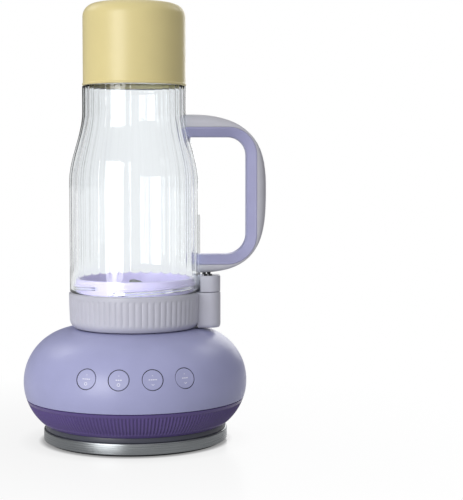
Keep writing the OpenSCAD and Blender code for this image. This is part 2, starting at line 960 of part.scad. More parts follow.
module jar() {
  color("#dfe8ee", 0.35)
    difference() {
      union() {
        rotate_extrude()
          difference() {
            jar_section(0, rim_z, jar_end_z, jar_end_r);
            jar_section(jar_wall, rim_z - CUT, jar_end_z - 3, jar_end_r - jar_wall);
          }
        difference() {
          union() {
            handle_root(root_x, root_low_z, 0);
            handle_root(root_top_x, root_top_z, 0);
          }
          rotate_extrude() jar_section(jar_wall / 2, rim_z - CUT, jar_end_z, jar_end_r);
        }
        around(thread_starts, thread_first)
          thread_rib(thread_root_r + 0.4, thread_crest_r, plug_thread_z - thread_half_pitch);
      }
      // Screw holes in the handle blocks
      translate([root_x - 4, 0, root_low_z + root_h - 4.5]) cylinder(r = 1.4, h = 8);
      translate([root_top_x - 4, 0, root_top_z - CUT]) cylinder(r = 1.4, h = CUT + 4.5);
    }
}

module boot() {
  color("#e6d68f")
    rotate_extrude()
      difference() {
        union() {
          translate([0, boot_low_z]) square([jar_neck_r, boot_top_z - boot_round - boot_low_z]);
          translate([0, boot_low_z]) square([jar_neck_r - boot_round, boot_top_z - boot_low_z]);
          translate([jar_neck_r - boot_round, boot_top_z - boot_round]) circle(r = boot_round);
        }
        jar_section(-0.05, boot_low_z - 20, jar_end_z + 0.05, jar_end_r + 0.05);
      }
}

// Point of the handle's outer outline at the angle t from +X, seen from the front.
function handle_point(t) =
  let (n = sin(t) >= 0 ? handle_up_n : handle_down_n, b = sin(t) >= 0 ? handle_up : handle_down)
    [handle_cx + handle_a * sign(cos(t)) * pow(abs(cos(t)), 2 / n),
     handle_mid_z + b * sign(sin(t)) * pow(abs(sin(t)), 2 / n)];

module handle_outline() {
  polygon(concat(
    [[handle_in_x, handle_point(-90).y], [handle_in_x, handle_point(90).y]],
    [for (i = [0 : outline_steps]) handle_point(90 - 180 * i / outline_steps)]
  ));
}

// Outline of the finger gap, grown by margin and by more at its far edge.
module gap_outline(margin, more = 0) {
  x = gap_x + margin + more;
  low = gap_low_z - margin;
  high = gap_top_z + margin;
  r_low = gap_round_low + margin;
  r_top = gap_round_top + margin;
  union() {
    translate([0, low + r_low]) square([x, high - low - r_low - r_top]);
    translate([0, low]) square([x - r_low, high - low]);
    translate([0, high - r_top]) square([x - r_top, r_top]);
    translate([x - r_low, low + r_low]) circle(r = r_low);
    translate([x - r_top, high - r_top]) circle(r = r_top);
  }
}

// A flat outline in X and Z, given the handle's width and cut to the tumbler.
module handle_slab() {
  difference() {
    translate([0, handle_w / 2, 0])
      rotate([90, 0, 0]) linear_extrude(height = handle_w) children();
    rotate_extrude() jar_section(-0.05, 90, 300, jar_end_r);
    handle_root(root_x, root_low_z, 0.1);
    handle_root(root_top_x, root_top_z, 0.1);
  }
}

module handle_shell() {
  color("#b9b9c2")
    handle_slab()
      difference() {
        handle_outline();
        gap_outline(grip_t, grip_more);
      }
}

module handle_grip() {
  color("#a2a4cf")
    difference() {
      handle_slab()
        intersection() {
          difference() {
            gap_outline(grip_t - 0.05, grip_more);
            gap_outline(0);
          }
          translate([handle_in_x, 0]) square([200, 400]);
        }
      translate([root_x - 4, 0, root_low_z + root_h - CUT]) {
        cylinder(r = 1.7, h = 20);
        translate([0, 0, CUT + 0.5]) cylinder(r = 3.2, h = 20);
      }
      translate([root_top_x - 4, 0, root_top_z - 10]) cylinder(r = 1.7, h = 11);
      translate([root_top_x - 4, 0, root_top_z - 10.8]) cylinder(r = 3.2, h = 10);
    }
}

module handle_screws() {
  color("#c3c6ca") {
    translate([root_x - 4, 0, root_low_z + root_h]) {
      translate([0, 0, -4]) cylinder(r = 1.35, h = 5);
      translate([0, 0, 0.55]) cylinder(r = 3, h = 1);
    }
    translate([root_top_x - 4, 0, root_top_z]) {
      translate([0, 0, -1]) cylinder(r = 1.35, h = 5);
      translate([0, 0, -1.75]) cylinder(r = 3, h = 0.9);
    }
  }
}

dome_shell();
lower_shell();
plinth_band();
steel_ring();
foot_ring();
bottom_cover();
cover_screws();
cup_socket();
socket_seal();
cord_gland();
motor_top_bracket();
motor_bottom_bracket();
field_stack();
field_windings();
upper_bearing();
lower_bearing();
brush_holders();
carbon_brushes();
motor_mounts();
hanger_screws();
tie_bolts();
control_board();
key_switches();
power_board();
interlock_switch();
armature_stack();
armature_windings();
commutator();
motor_shaft();
cooling_fan();
drive_coupler();
button_1();
button_2();
button_3();
button_4();
bearing_housing();
blade_bushes();
blade_seal();
blade_collar();
blade_base();
tab_block();
blade_shaft();
lower_blade();
upper_blade();
blade_nut();
driven_coupler();
rim_gasket();
jar();
boot();
handle_shell();
handle_grip();
handle_screws();
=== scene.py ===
import json
import math
import bmesh
import bpy
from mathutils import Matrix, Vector


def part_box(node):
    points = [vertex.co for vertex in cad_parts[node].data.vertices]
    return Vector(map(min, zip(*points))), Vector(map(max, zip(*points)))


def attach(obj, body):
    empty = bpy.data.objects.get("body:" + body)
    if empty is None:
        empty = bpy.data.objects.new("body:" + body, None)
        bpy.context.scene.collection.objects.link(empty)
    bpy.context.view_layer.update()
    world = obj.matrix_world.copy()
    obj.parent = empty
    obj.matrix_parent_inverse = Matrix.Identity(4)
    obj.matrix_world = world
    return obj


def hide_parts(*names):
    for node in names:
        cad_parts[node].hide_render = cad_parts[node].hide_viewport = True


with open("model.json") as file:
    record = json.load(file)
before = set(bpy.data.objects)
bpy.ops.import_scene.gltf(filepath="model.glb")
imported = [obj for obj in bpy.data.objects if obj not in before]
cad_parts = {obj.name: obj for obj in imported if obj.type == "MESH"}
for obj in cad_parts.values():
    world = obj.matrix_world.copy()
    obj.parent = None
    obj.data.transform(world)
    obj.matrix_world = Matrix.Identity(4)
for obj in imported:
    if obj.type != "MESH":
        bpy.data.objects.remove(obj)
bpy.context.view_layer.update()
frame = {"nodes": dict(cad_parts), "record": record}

NODES = frame["nodes"]
MM = 0.001

# ---------- sizes, from the frame ----------

DOME_LOW, DOME_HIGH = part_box("dome_shell")
LOWER_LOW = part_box("lower_shell")[0]
PLINTH_LOW, PLINTH_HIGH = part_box("plinth_band")
RING_LOW, RING_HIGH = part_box("steel_ring")
FOOT_LOW, FOOT_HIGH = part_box("foot_ring")
SOCKET_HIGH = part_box("cup_socket")[1]
COLLAR_LOW, COLLAR_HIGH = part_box("blade_collar")
BLOCK_LOW, BLOCK_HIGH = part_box("tab_block")
PLUG_LOW, PLUG_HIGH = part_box("blade_base")
GLAND_LOW, GLAND_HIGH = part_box("cord_gland")
JAR_LOW, JAR_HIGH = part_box("jar")
BOOT_LOW, BOOT_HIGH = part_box("boot")
SHELL_LOW, SHELL_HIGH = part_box("handle_shell")

BASE_R = DOME_HIGH.y                      # widest radius of the motor base
SIDE_R = 38 * MM                          # radius of its round side, in section
SIDE_X = BASE_R - SIDE_R                  # middle of that section, from the axis
BELLY_Z = DOME_HIGH.z - SIDE_R            # height of the widest radius
SEAM_Z = DOME_LOW.z                       # between the dome and the lower shell
SKIRT_Z = LOWER_LOW.z                     # lower edge of the lower shell
WALL = 2.4 * MM                           # wall of both shells
COLLAR_R = -COLLAR_LOW.x
JAR_R = JAR_HIGH.y                        # the tumbler below its shoulder
NECK_R = BOOT_HIGH.y                      # the boot, and the tumbler above its shoulder
JAR_WALL = 2.5 * MM
SHOULDER_LOW_Z, SHOULDER_TOP_Z = 186 * MM, 236 * MM
HANDLE_W = SHELL_HIGH.y - SHELL_LOW.y

# ---------- mesh helpers ----------

MERGE = 1e-7                              # points closer than this become one
SAME_PLACE = 1e-8                         # corners closer than this are one corner
ON_AXIS = 1e-9                            # a smaller radius lies on the axis


def add(name, data):
    """Puts new data into the scene as an object."""
    obj = bpy.data.objects.new(name, data)
    bpy.context.scene.collection.objects.link(obj)
    return obj


def make_object(name, vertices, faces, smooth_angle=35):
    """A mesh object with outward normals, smooth except at edges sharper than smooth_angle."""
    mesh = bpy.data.meshes.new(name)
    mesh.from_pydata(vertices, [], faces)
    bm = bmesh.new()
    bm.from_mesh(mesh)
    bmesh.ops.remove_doubles(bm, verts=bm.verts, dist=MERGE)
    bmesh.ops.recalc_face_normals(bm, faces=bm.faces)
    for face in bm.faces:
        face.smooth = True
    limit = math.radians(smooth_angle)
    for edge in bm.edges:
        edge.smooth = len(edge.link_faces) == 2 and edge.calc_face_angle(0) < limit
    bm.to_mesh(mesh)
    bm.free()
    return add(name, mesh)


def rounded(corners, steps=5, closed=True):
    """Rounds a 2D outline: corners are (x, y, radius), and each becomes an arc of that radius."""
    points = []
    count = len(corners)
    for i, (x, y, radius) in enumerate(corners):
        if radius == 0 or (not closed and i in (0, count - 1)):
            points.append((x, y))
            continue
        here = Vector((x, y))
        before = Vector(corners[i - 1][:2]) - here
        after = Vector(corners[(i + 1) % count][:2]) - here
        half = before.angle(after) / 2
        reach = radius / math.tan(half)
        start, end = here + before.normalized() * reach, here + after.normalized() * reach
        inward = (before.normalized() + after.normalized()).normalized()
        centre = here + inward * (radius / math.sin(half))
        a, b = start - centre, end - centre
        sweep = a.angle(b)
        for k in range(steps + 1):
            t = k / steps
            p = centre + (a * math.sin((1 - t) * sweep) + b * math.sin(t * sweep)) / math.sin(sweep)
            points.append((p.x, p.y))
    return points


def arc(cx, cy, radius, start, end, steps):
    """Points of an arc between two angles in degrees."""
    angles = [math.radians(start + (end - start) * k / steps) for k in range(steps + 1)]
    return [(cx + radius * math.cos(a), cy + radius * math.sin(a)) for a in angles]


def lathe(name, profile, segments=192, wave=None, smooth_angle=35):
    """Turns a closed outline of (radius, z) round Z. wave(angle, radius, z) adds to a radius."""
    vertices = []
    for k in range(segments):
        angle = 2 * math.pi * k / segments
        c, s = math.cos(angle), math.sin(angle)
        for radius, z in profile:
            r = radius + wave(angle, radius, z) if wave else radius
            vertices.append((r * c, r * s, z))
    n = len(profile)
    faces = []
    for k in range(segments):
        here, there = k * n, (k + 1) % segments * n
        for i in range(n):
            j = (i + 1) % n
            if profile[i][0] < ON_AXIS and profile[j][0] < ON_AXIS:
                continue
            faces.append((here + i, there + i, there + j, here + j))
    return make_object(name, vertices, clean_faces(vertices, faces), smooth_angle)


def clean_faces(vertices, faces):
    """Drops the corners that repeat where a face meets the axis."""

    def apart(a, b):
        return (Vector(vertices[a]) - Vector(vertices[b])).length > SAME_PLACE

    kept = []
    for face in faces:
        corners = []
        for v in face:
            if not corners or apart(v, corners[-1]):
                corners.append(v)
        if len(corners) > 2 and not apart(corners[0], corners[-1]):
            corners.pop()
        if len(corners) > 2:
            kept.append(tuple(corners))
    return kept


def skin(name, rings, smooth_angle=40):
    """A closed solid through rings of points, with a flat cap on the first and the last."""
    n = len(rings[0])
    vertices = [p for ring in rings for p in ring]
    faces = [(i * n + k, i * n + (k + 1) % n, (i + 1) * n + (k + 1) % n, (i + 1) * n + k)
             for i in range(len(rings) - 1) for k in range(n)]
    faces += [tuple(range(n)), tuple(range((len(rings) - 1) * n, len(rings) * n))]
    return make_object(name, vertices, clean_faces(vertices, faces), smooth_angle)


def bend(name, section, start, sweep, steps, rise=0.0, run_out=0.0):
    """Sweeps a section of (radius, z) round Z; its reach fades over run_out degrees at both ends.

    Angles are in degrees, and rise is the climb of a full turn."""
    root = section[0][0]
    blunt = 0.15 * run_out  # what the fade leaves off, so that the ends keep a little height
    rings = []
    for k in range(steps + 1):
        turned = sweep * k / steps
        from_end = min(turned, sweep - turned)
        share = smoothstep(-blunt, run_out, from_end) if run_out else 1.0
        angle = math.radians(start + turned)
        ring = []
        for r, z in section:
            reach = root + (r - root) * share
            ring.append((reach * math.cos(angle), reach * math.sin(angle), z + rise * turned / 360))
        rings.append(ring)
    return skin(name, rings)


def join(name, pieces):
    """One object out of several."""
    bm = bmesh.new()
    for piece in pieces:
        bm.from_mesh(piece.data)
        bpy.data.objects.remove(piece)
    mesh = bpy.data.meshes.new(name)
    bm.to_mesh(mesh)
    bm.free()
    return add(name, mesh)


def smoothstep(low, high, value):
    """Eased step from 0 at low to 1 at high."""
    t = min(1, max(0, (value - low) / (high - low)))
    return t * t * (3 - 2 * t)


def mix(start, end, t):
    """Value at the share t of the way from start to end."""
    return start * (1 - t) + end * t


def grooves(count, angle, power):
    """Grooves round the axis: 0 between them, 1 at their deepest. A low power makes them narrow."""
    return 1 - abs(math.cos(count * angle / 2)) ** power


def wear(obj, body, slot, *nodes, material=None):
    """Gives a finished piece its body and its slot's material, and hides the CAD nodes that it
    stands for.
    """
    obj.data.materials.clear()
    obj.data.materials.append(material or MATERIALS[slot])
    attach(obj, body)
    if nodes:
        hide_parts(*nodes)


# ---------- materials ----------


class Finish:
    """A node material whose Principled shader is fed by small procedural parts."""

    def __init__(self, name, roughness=0.4, metallic=0.0, ior=1.46):
        self.material = bpy.data.materials.new(name)
        self.material.use_nodes = True
        self.tree = self.material.node_tree
        self.shader = self.tree.nodes["Principled BSDF"]
        self.shader.inputs["Roughness"].default_value = roughness
        self.shader.inputs["Metallic"].default_value = metallic
        self.shader.inputs["IOR"].default_value = ior
        self.place = self.node("ShaderNodeTexCoord").outputs["Object"]

    def node(self, kind, **settings):
        """A new node with some of its properties set."""
        made = self.tree.nodes.new(kind)
        for key, value in settings.items():
            setattr(made, key, value)
        return made

    def join(self, a, b):
        """Links an output to an input."""
        self.tree.links.new(a, b)

    def stretched(self, scale):
        """The place on the object, scaled along each axis."""
        mapping = self.node("ShaderNodeMapping")
        mapping.inputs["Scale"].default_value = scale
        self.join(self.place, mapping.inputs["Vector"])
        return mapping.outputs["Vector"]

    def noise(self, scale, detail=3.0, stretch=None, vector=None):
        """Noise over a vector of its own, or else over the object's place, stretched or not."""
        noise = self.node("ShaderNodeTexNoise")
        noise.inputs["Scale"].default_value = scale
        noise.inputs["Detail"].default_value = detail
        place = vector or (self.stretched(stretch) if stretch else self.place)
        self.join(place, noise.inputs["Vector"])
        return noise.outputs["Fac"]

    def ramp(self, factor, stops):
        """Maps a factor through stops of (position, colour or grey)."""
        ramp = self.node("ShaderNodeValToRGB")
        while len(ramp.color_ramp.elements) < len(stops):
            ramp.color_ramp.elements.new(0.5)
        for element, (position, value) in zip(ramp.color_ramp.elements, stops):
            element.position = position
            element.color = (*value, 1) if isinstance(value, tuple) else (value, value, value, 1)
        self.join(factor, ramp.inputs["Fac"])
        return ramp.outputs["Color"]

    def colour(self, colour, spread=0.03, scale=60):
        """Base colour that drifts a little across the surface."""
        dark = tuple(c * (1 - spread) for c in colour)
        light = tuple(min(1, c * (1 + spread)) for c in colour)
        drift = self.ramp(self.noise(scale), [(0.3, dark), (0.7, light)])
        self.join(drift, self.shader.inputs["Base Color"])
        return self

    def rough(self, low, high, scale=220, stretch=None):
        """Roughness that varies between two values."""
        drift = self.ramp(self.noise(scale, stretch=stretch), [(0.3, low), (0.7, high)])
        self.join(drift, self.shader.inputs["Roughness"])
        return self

    def grain(self, scale, depth, detail=2.0, stretch=None, factor=None):
        """Fine surface relief; depth is in metres."""
        bump = self.node("ShaderNodeBump")
        bump.inputs["Strength"].default_value = 1.0
        bump.inputs["Distance"].default_value = depth
        self.join(factor or self.noise(scale, detail, stretch), bump.inputs["Height"])
        self.join(bump.outputs["Normal"], self.shader.inputs["Normal"])
        return self


def srgb(text):
    """Linear colour of an sRGB hex value."""
    values = [int(text[i:i + 2], 16) / 255 for i in (0, 2, 4)]
    return tuple(v / 12.92 if v <= 0.04045 else ((v + 0.055) / 1.055) ** 2.4 for v in values)


def moulded(name, colour, roughness, grain=0.00004, grain_scale=2600):
    """Spark-eroded satin plastic."""
    finish = Finish(name, roughness)
    finish.colour(srgb(colour), 0.025)
    finish.rough(roughness * 0.9, roughness * 1.12)
    finish.grain(grain_scale, grain)
    return finish.material


def metal(name, colour, roughness, stretch=(1, 1, 1), depth=0.00001):
    """Worked metal with its tool marks, which run across the axis that is stretched."""
    marks = 900
    finish = Finish(name, roughness, metallic=1.0)
    finish.colour(srgb(colour), 0.06, 400)
    finish.rough(roughness * 0.75, roughness * 1.35, marks, stretch)
    finish.grain(marks, depth, 4, stretch)
    return finish.material


def ring_place(finish):
    """Place on a surface round the axis, as (angle, height, radius)."""
    split = finish.node("ShaderNodeSeparateXYZ")
    finish.join(finish.place, split.inputs[0])
    angle = finish.node("ShaderNodeMath", operation="ARCTAN2")
    finish.join(split.outputs["Y"], angle.inputs[0])
    finish.join(split.outputs["X"], angle.inputs[1])
    merged = finish.node("ShaderNodeCombineXYZ")
    finish.join(angle.outputs[0], merged.inputs[0])
    finish.join(split.outputs["Z"], merged.inputs[1])
    return merged.outputs[0]


def brushed_ring():
    """Steel brushed round the axis."""
    finish = Finish("brushed_steel_ring", 0.3, metallic=1.0)
    mapping = finish.node("ShaderNodeMapping")
    mapping.inputs["Scale"].default_value = (1.2, 4200, 1)  # long lines round the axis
    finish.join(ring_place(finish), mapping.inputs["Vector"])
    lines = finish.noise(1, 5, vector=mapping.outputs["Vector"])
    finish.join(finish.ramp(lines, [(0.25, srgb("777b7e")), (0.75, srgb("b4b8ba"))]),
                finish.shader.inputs["Base Color"])
    finish.join(finish.ramp(lines, [(0.2, 0.2), (0.8, 0.42)]), finish.shader.inputs["Roughness"])
    finish.grain(1, 0.000012, factor=lines)
    return finish.material


def clear_plastic():
    """Clear copolyester with a trace of moulding waviness. Shadow rays pass straight through."""
    finish = Finish("clear_copolyester", 0.03, ior=1.5)
    shader = finish.shader
    shader.inputs["Base Color"].default_value = (0.93, 0.95, 0.962, 1)
    shader.inputs["Transmission Weight"].default_value = 1.0
    finish.rough(0.01, 0.04, 90)
    finish.grain(45, 0.0001, 1.5)
    path = finish.node("ShaderNodeLightPath")
    open_way = finish.node("ShaderNodeBsdfTransparent")
    open_way.inputs["Color"].default_value = (0.93, 0.95, 0.95, 1)
    mix = finish.node("ShaderNodeMixShader")
    finish.join(path.outputs["Is Shadow Ray"], mix.inputs["Fac"])
    finish.join(shader.outputs[0], mix.inputs[1])
    finish.join(open_way.outputs[0], mix.inputs[2])
    finish.join(mix.outputs[0], finish.tree.nodes["Material Output"].inputs["Surface"])
    return finish.material


def soft_silicone(name, colour):
    """Soft-touch silicone: broad highlight and a fine velvety sheen."""
    finish = Finish(name, 0.36, ior=1.45)
    finish.colour(srgb(colour), 0.02, 35)
    finish.rough(0.3, 0.4, 500)
    finish.grain(3200, 0.00003)
    finish.shader.inputs["Sheen Weight"].default_value = 0.15
    finish.shader.inputs["Sheen Roughness"].default_value = 0.4
    return finish.material


def laminations():
    """Stacked steel sheets, seen as fine lines across the axis."""
    finish = Finish("laminations", 0.45, metallic=0.9)
    lines = finish.noise(1, 2, (3, 3, 2600))
    finish.join(finish.ramp(lines, [(0.35, srgb("4c5056")), (0.65, srgb("8b9097"))]),
                finish.shader.inputs["Base Color"])
    finish.grain(1, 0.00006, factor=lines)
    return finish.material


def wound_wire():
    """Varnished copper wire, laid in turns."""
    finish = Finish("wound_wire", 0.28, metallic=0.85)
    wave = finish.node("ShaderNodeTexWave", bands_direction="Z")
    wave.inputs["Scale"].default_value = 320
    wave.inputs["Distortion"].default_value = 1.5
    finish.join(finish.place, wave.inputs["Vector"])
    finish.join(finish.ramp(wave.outputs["Fac"], [(0.1, srgb("6e3414")), (0.7, srgb("c8763a"))]),
                finish.shader.inputs["Base Color"])
    finish.grain(1, 0.00015, factor=wave.outputs["Fac"])
    return finish.material


def circuit_board():
    """Green lacquer over copper tracks."""
    finish = Finish("circuit_board", 0.25)
    tracks = finish.node("ShaderNodeTexBrick")
    tracks.inputs["Scale"].default_value = 220
    tracks.inputs["Color1"].default_value = (*srgb("1f5a38"), 1)
    tracks.inputs["Color2"].default_value = (*srgb("246843"), 1)
    tracks.inputs["Mortar"].default_value = (*srgb("3c8a5c"), 1)
    finish.join(finish.place, tracks.inputs["Vector"])
    finish.join(tracks.outputs["Color"], finish.shader.inputs["Base Color"])
    finish.grain(900, 0.00002)
    return finish.material


MATERIALS = {
    "dome_plastic": moulded("dome_plastic", "a5a7ce", 0.33),
    "button_plastic": moulded("button_plastic", "a7a9cf", 0.33),
    "purple_plastic": moulded("purple_plastic", "5c4c86", 0.24),
    "charcoal_plastic": moulded("charcoal_plastic", "464853", 0.34),
    "brushed_steel": brushed_ring(),
    "black_rubber": moulded("black_rubber", "1c1d20", 0.72, grain=0.00008, grain_scale=1800),
    "dark_plastic": moulded("dark_plastic", "2c2d33", 0.5),
    "screw_steel": metal("screw_steel", "a6a8ac", 0.32),
    "socket_plastic": moulded("socket_plastic", "8584ae", 0.42),
    "die_cast": metal("die_cast", "9b9da2", 0.5, depth=0.00005),
    "lamination": laminations(),
    "copper_wire": wound_wire(),
    "machined_steel": metal("machined_steel", "c9ccd0", 0.2, stretch=(1, 1, 30)),
    "brass": metal("brass", "c2a157", 0.3, stretch=(1, 1, 20)),
    "carbon": moulded("carbon", "2a2a2c", 0.6),
    "circuit_board": circuit_board(),
    "copper_bar": metal("copper_bar", "bf7f50", 0.25, stretch=(1, 1, 20)),
    "collar_plastic": moulded("collar_plastic", "c4c4d0", 0.36),
    "lavender_plastic": moulded("lavender_plastic", "cdc5e9", 0.2, grain=0.00001),
    "blade_steel": metal("blade_steel", "d3d6da", 0.16, stretch=(20, 1, 1)),
    "grey_silicone": soft_silicone("grey_silicone", "c2c2cb"),
    "clear_copolyester": clear_plastic(),
    "yellow_silicone": soft_silicone("yellow_silicone", "dfd095"),
    "handle_plastic": moulded("handle_plastic", "bdbdc6", 0.36),
    "grip_plastic": moulded("grip_plastic", "9e9ec0", 0.42),
}
PRINT = moulded("button_print", "e8e8f4", 0.5)


# ---------- motor base ----------


def side_arc(inset, low, high, steps):
    """Round side of the base between two heights, from the top down."""
    radius = SIDE_R - inset
    start = math.degrees(math.asin(max(-1, min(1, (high - BELLY_Z) / radius))))
    end = math.degrees(math.asin(max(-1, min(1, (low - BELLY_Z) / radius))))
    return arc(SIDE_X, BELLY_Z, radius, start, end, steps)


BUTTONS = range(1, 5)
ROW_MIDDLE = 2.5                          # the row is centred between buttons 2 and 3
BUTTON_TILT = math.radians(18.1)
BUTTON_STEP = math.radians(16.7)
BUTTON_X = SIDE_X + SIDE_R * math.cos(BUTTON_TILT)
BUTTON_Z = BELLY_Z + SIDE_R * math.sin(BUTTON_TILT)
KEY_R = 6.85 * MM
BUTTON_HOLE_R = 7.35 * MM
BORE_DEPTH = 16 * MM


def button_frame(index):
    """(centre, right, up, outward) of a button's place on the dome."""
    turn = (index - ROW_MIDDLE) * BUTTON_STEP
    out_flat = Vector((math.sin(turn), -math.cos(turn), 0))
    outward = out_flat * math.cos(BUTTON_TILT) + Vector((0, 0, math.sin(BUTTON_TILT)))
    right = Vector((math.cos(turn), math.sin(turn), 0))
    centre = out_flat * BUTTON_X + Vector((0, 0, BUTTON_Z))
    return centre, right, outward.cross(right), outward


def surface_drop(u, v):
    """How far the dome falls away below a button's tangent plane at the offset (u, v)."""
    return v * v / (2 * SIDE_R) + u * u * math.cos(BUTTON_TILT) / (2 * BUTTON_X)


def bore(obj, centre, outward, radius, solver="EXACT"):
    """Cuts a round hole through a wall."""
    mesh = bpy.data.meshes.new("cutter")
    bm = bmesh.new()
    bmesh.ops.create_cone(bm, cap_ends=True, segments=64, radius1=radius, radius2=radius,
                          depth=BORE_DEPTH)
    turn = outward.to_track_quat("Z", "Y").to_matrix().to_4x4()
    turn.translation = centre
    bm.transform(turn)
    bm.to_mesh(mesh)
    bm.free()
    tool = add("cutter", mesh)
    cut = obj.modifiers.new("hole", "BOOLEAN")
    cut.operation, cut.object, cut.solver = "DIFFERENCE", tool, solver
    bpy.context.view_layer.objects.active = obj
    bpy.ops.object.modifier_apply(modifier="hole")
    bpy.data.objects.remove(tool)


def build_dome():
    """Dome with a rounded lip at its opening, and a hole for each key."""
    lip = 0.8 * MM
    low = SEAM_Z + 0.3 * MM
    opening = SOCKET_HIGH.x - 4.2 * MM
    outer = side_arc(0, SEAM_Z + 0.5 * MM, DOME_HIGH.z, 72)
    inner = side_arc(WALL, low, DOME_HIGH.z - WALL, 40)
    lip_arc = arc(opening + lip, DOME_HIGH.z - lip, lip, 100, 180, 5)
    profile = [*outer, (outer[-1][0] - 0.9 * MM, low), *reversed(inner),
               (opening, DOME_HIGH.z - WALL), *reversed(lip_arc), (opening + lip, DOME_HIGH.z)]
    dome = lathe("dome_skin", profile, 320)
    for index in BUTTONS:
        centre, _, _, outward = button_frame(index)
        bore(dome, centre, outward, BUTTON_HOLE_R)
    wear(dome, "base", "dome_plastic", "dome_shell")


def on_button(index, u, v, depth):
    """A point at the offset (u, v) from a button's middle, at a depth below the dome's surface."""
    centre, right, up, outward = button_frame(index)
    return centre + right * u + up * v - outward * (surface_drop(u, v) + depth)


def on_circle(index, radius, angle, depth):
    """A point on a circle round a button's middle, at a depth below the dome's surface."""
    return on_button(index, radius * math.cos(angle), radius * math.sin(angle), depth)


def cap_depth(radius):
    """Depth of the key's shallow dish at a distance from its middle."""
    return (0.12 + 0.22 * (1 - (radius / KEY_R) ** 2)) * MM


def build_button(index):
    """Round key that follows the dome's curve, with a soft edge and a shallow dish."""
    edge, foot = 0.4 * MM, 3.4 * MM
    levels = [(KEY_R * k / 8, cap_depth(KEY_R * k / 8)) for k in range(8)]
    levels += [(KEY_R - edge + edge * math.sin(a), cap_depth(KEY_R) + edge * (1 - math.cos(a)))
               for a in (math.radians(15 * k) for k in range(7))]
    levels.append((KEY_R, foot))
    angles = [2 * math.pi * k / 72 for k in range(72)]
    rings = [[on_circle(index, r, a, depth) for a in angles] for r, depth in levels]
    key = skin(f"key_cap_{index}", rings)
    wear(key, f"key_{index}", "button_plastic", f"button_{index}")

    # Dark ring in the gap between the key and the dome: painted shade of the gap
    gap_shade_in, gap_shade_out, gap_shade_low = KEY_R + 0.06 * MM, BUTTON_HOLE_R + 0.15 * MM, 1.9 * MM
    section = [(gap_shade_in, 0.7 * MM), (gap_shade_out, 0.55 * MM), (gap_shade_out, gap_shade_low),
               (gap_shade_in, gap_shade_low)]
    rings = [[on_circle(index, r, a, depth) for r, depth in section] for a in angles + angles[:1]]
    wear(skin(f"key_gap_shade_{index}", rings), "base", "dark_plastic")
    build_sign(index)


def arc_stroke(cx, cy, radius, start, end, width, steps=20):
    """Quads along an arc, in the plane."""
    quads = []
    for k in range(steps):
        a, b = (math.radians(start + (end - start) * t / steps) for t in (k, k + 1))
        inner, outer = radius - width / 2, radius + width / 2
        quads.append([(cx + r * math.cos(t), cy + r * math.sin(t))
                      for r, t in ((inner, a), (outer, a), (outer, b), (inner, b))])
    return quads


def bar_stroke(x1, y1, x2, y2, width, steps=4):
    """Quads along a straight line, in the plane."""
    start, along = Vector((x1, y1)), Vector((x2 - x1, y2 - y1))
    side = Vector((-along.y, along.x)).normalized() * (width / 2)
    quads = []
    for k in range(steps):
        a, b = start + along * (k / steps), start + along * ((k + 1) / steps)
        quads.append([tuple(p) for p in (a - side, a + side, b + side, b - side)])
    return quads


def sign_strokes(index):
    """Generic marks in millimetres: a row of dashes, a tick above and a ring or an arc below."""
    dashes, pitch = 3 + index % 2, 1.5
    strokes = []
    for k in range(dashes):
        x = (k - (dashes - 1) / 2) * pitch
        strokes += bar_stroke(x - 0.55, 0.1, x + 0.55, 0.1, 0.62)
    strokes += bar_stroke(-0.35, 2.9, 0.35, 2.9, 0.4)
    if index < 3:
        return strokes + arc_stroke(0, -3.1, 0.95, 0, 360, 0.36)
    return strokes + arc_stroke(0, -2.6, 0.9, 200, 340, 0.34)


def build_sign(index):
    """The marks printed on a key, as thin plates from just under its surface to just over it."""
    under, over = -0.02 * MM, 0.05 * MM
    vertices, faces = [], []
    for quad in sign_strokes(index):
        base = len(vertices)
        for lift in (under, over):
            for x, y in quad:
                depth = cap_depth(math.hypot(x, y) * MM) - lift
                vertices.append(on_button(index, x * MM, y * MM, depth))
        faces += [(base + 4, base + 5, base + 6, base + 7), (base + 3, base + 2, base + 1, base)]
        faces += [(base + i, base + j, base + 4 + j, base + 4 + i)
                  for i, j in ((0, 1), (1, 2), (2, 3), (3, 0))]
    mesh = bpy.data.meshes.new(f"key_sign_{index}")
    mesh.from_pydata(vertices, [], faces)
    wear(add(f"key_sign_{index}", mesh), f"key_{index}", "button_plastic", material=PRINT)


RIBS, RIB_DEPTH = 192, 0.9 * MM


def build_lower_shell():
    """Purple shell with fine upright ribs between two smooth strips."""

    def ribs(angle, radius, z):
        outside = SIDE_X + math.sqrt(max(0, SIDE_R ** 2 - (z - BELLY_Z) ** 2))
        if radius < outside - 0.6 * MM:
            return 0
        fade = smoothstep(SKIRT_Z + 2.0 * MM, SKIRT_Z + 3.6 * MM, z)
        fade *= 1 - smoothstep(SEAM_Z - 3.0 * MM, SEAM_Z - 2.2 * MM, z)
        return -RIB_DEPTH * fade * grooves(RIBS, angle, 1.8)

    low, high, floor_in = SKIRT_Z, SEAM_Z, 42 * MM
    outer = side_arc(0, low + 0.5 * MM, high - 0.25 * MM, 40)
    inner = side_arc(WALL, low + WALL, high, 12)
    profile = [(outer[0][0] - 0.5 * MM, high), *outer, (outer[-1][0] - 0.6 * MM, low),
               (floor_in, low), (floor_in, low + WALL), *reversed(inner)]
    shell = lathe("lower_shell_ribbed", profile, RIBS * 8, ribs, 60)

    # Hole for the cord gland, whose rim covers the hole's edge
    gland = Vector((0, GLAND_HIGH.y, (GLAND_LOW.z + GLAND_HIGH.z) / 2))
    bore(shell, gland, Vector((0, 1, 0)), GLAND_HIGH.x - 1 * MM, "MANIFOLD")
    wear(shell, "base", "purple_plastic", "lower_shell")


def build_ring(name, node, slot, box, wall, edge):
    """Plain ring of the base, with its edges rounded."""
    low, high = box[0].z, box[1].z
    outside = box[1].x
    inside = outside - wall
    profile = rounded([(inside, low, edge), (outside, low, edge), (outside, high, edge),
                       (inside, high, edge)], 4)
    wear(lathe(name, profile, 192), "base", slot, node)


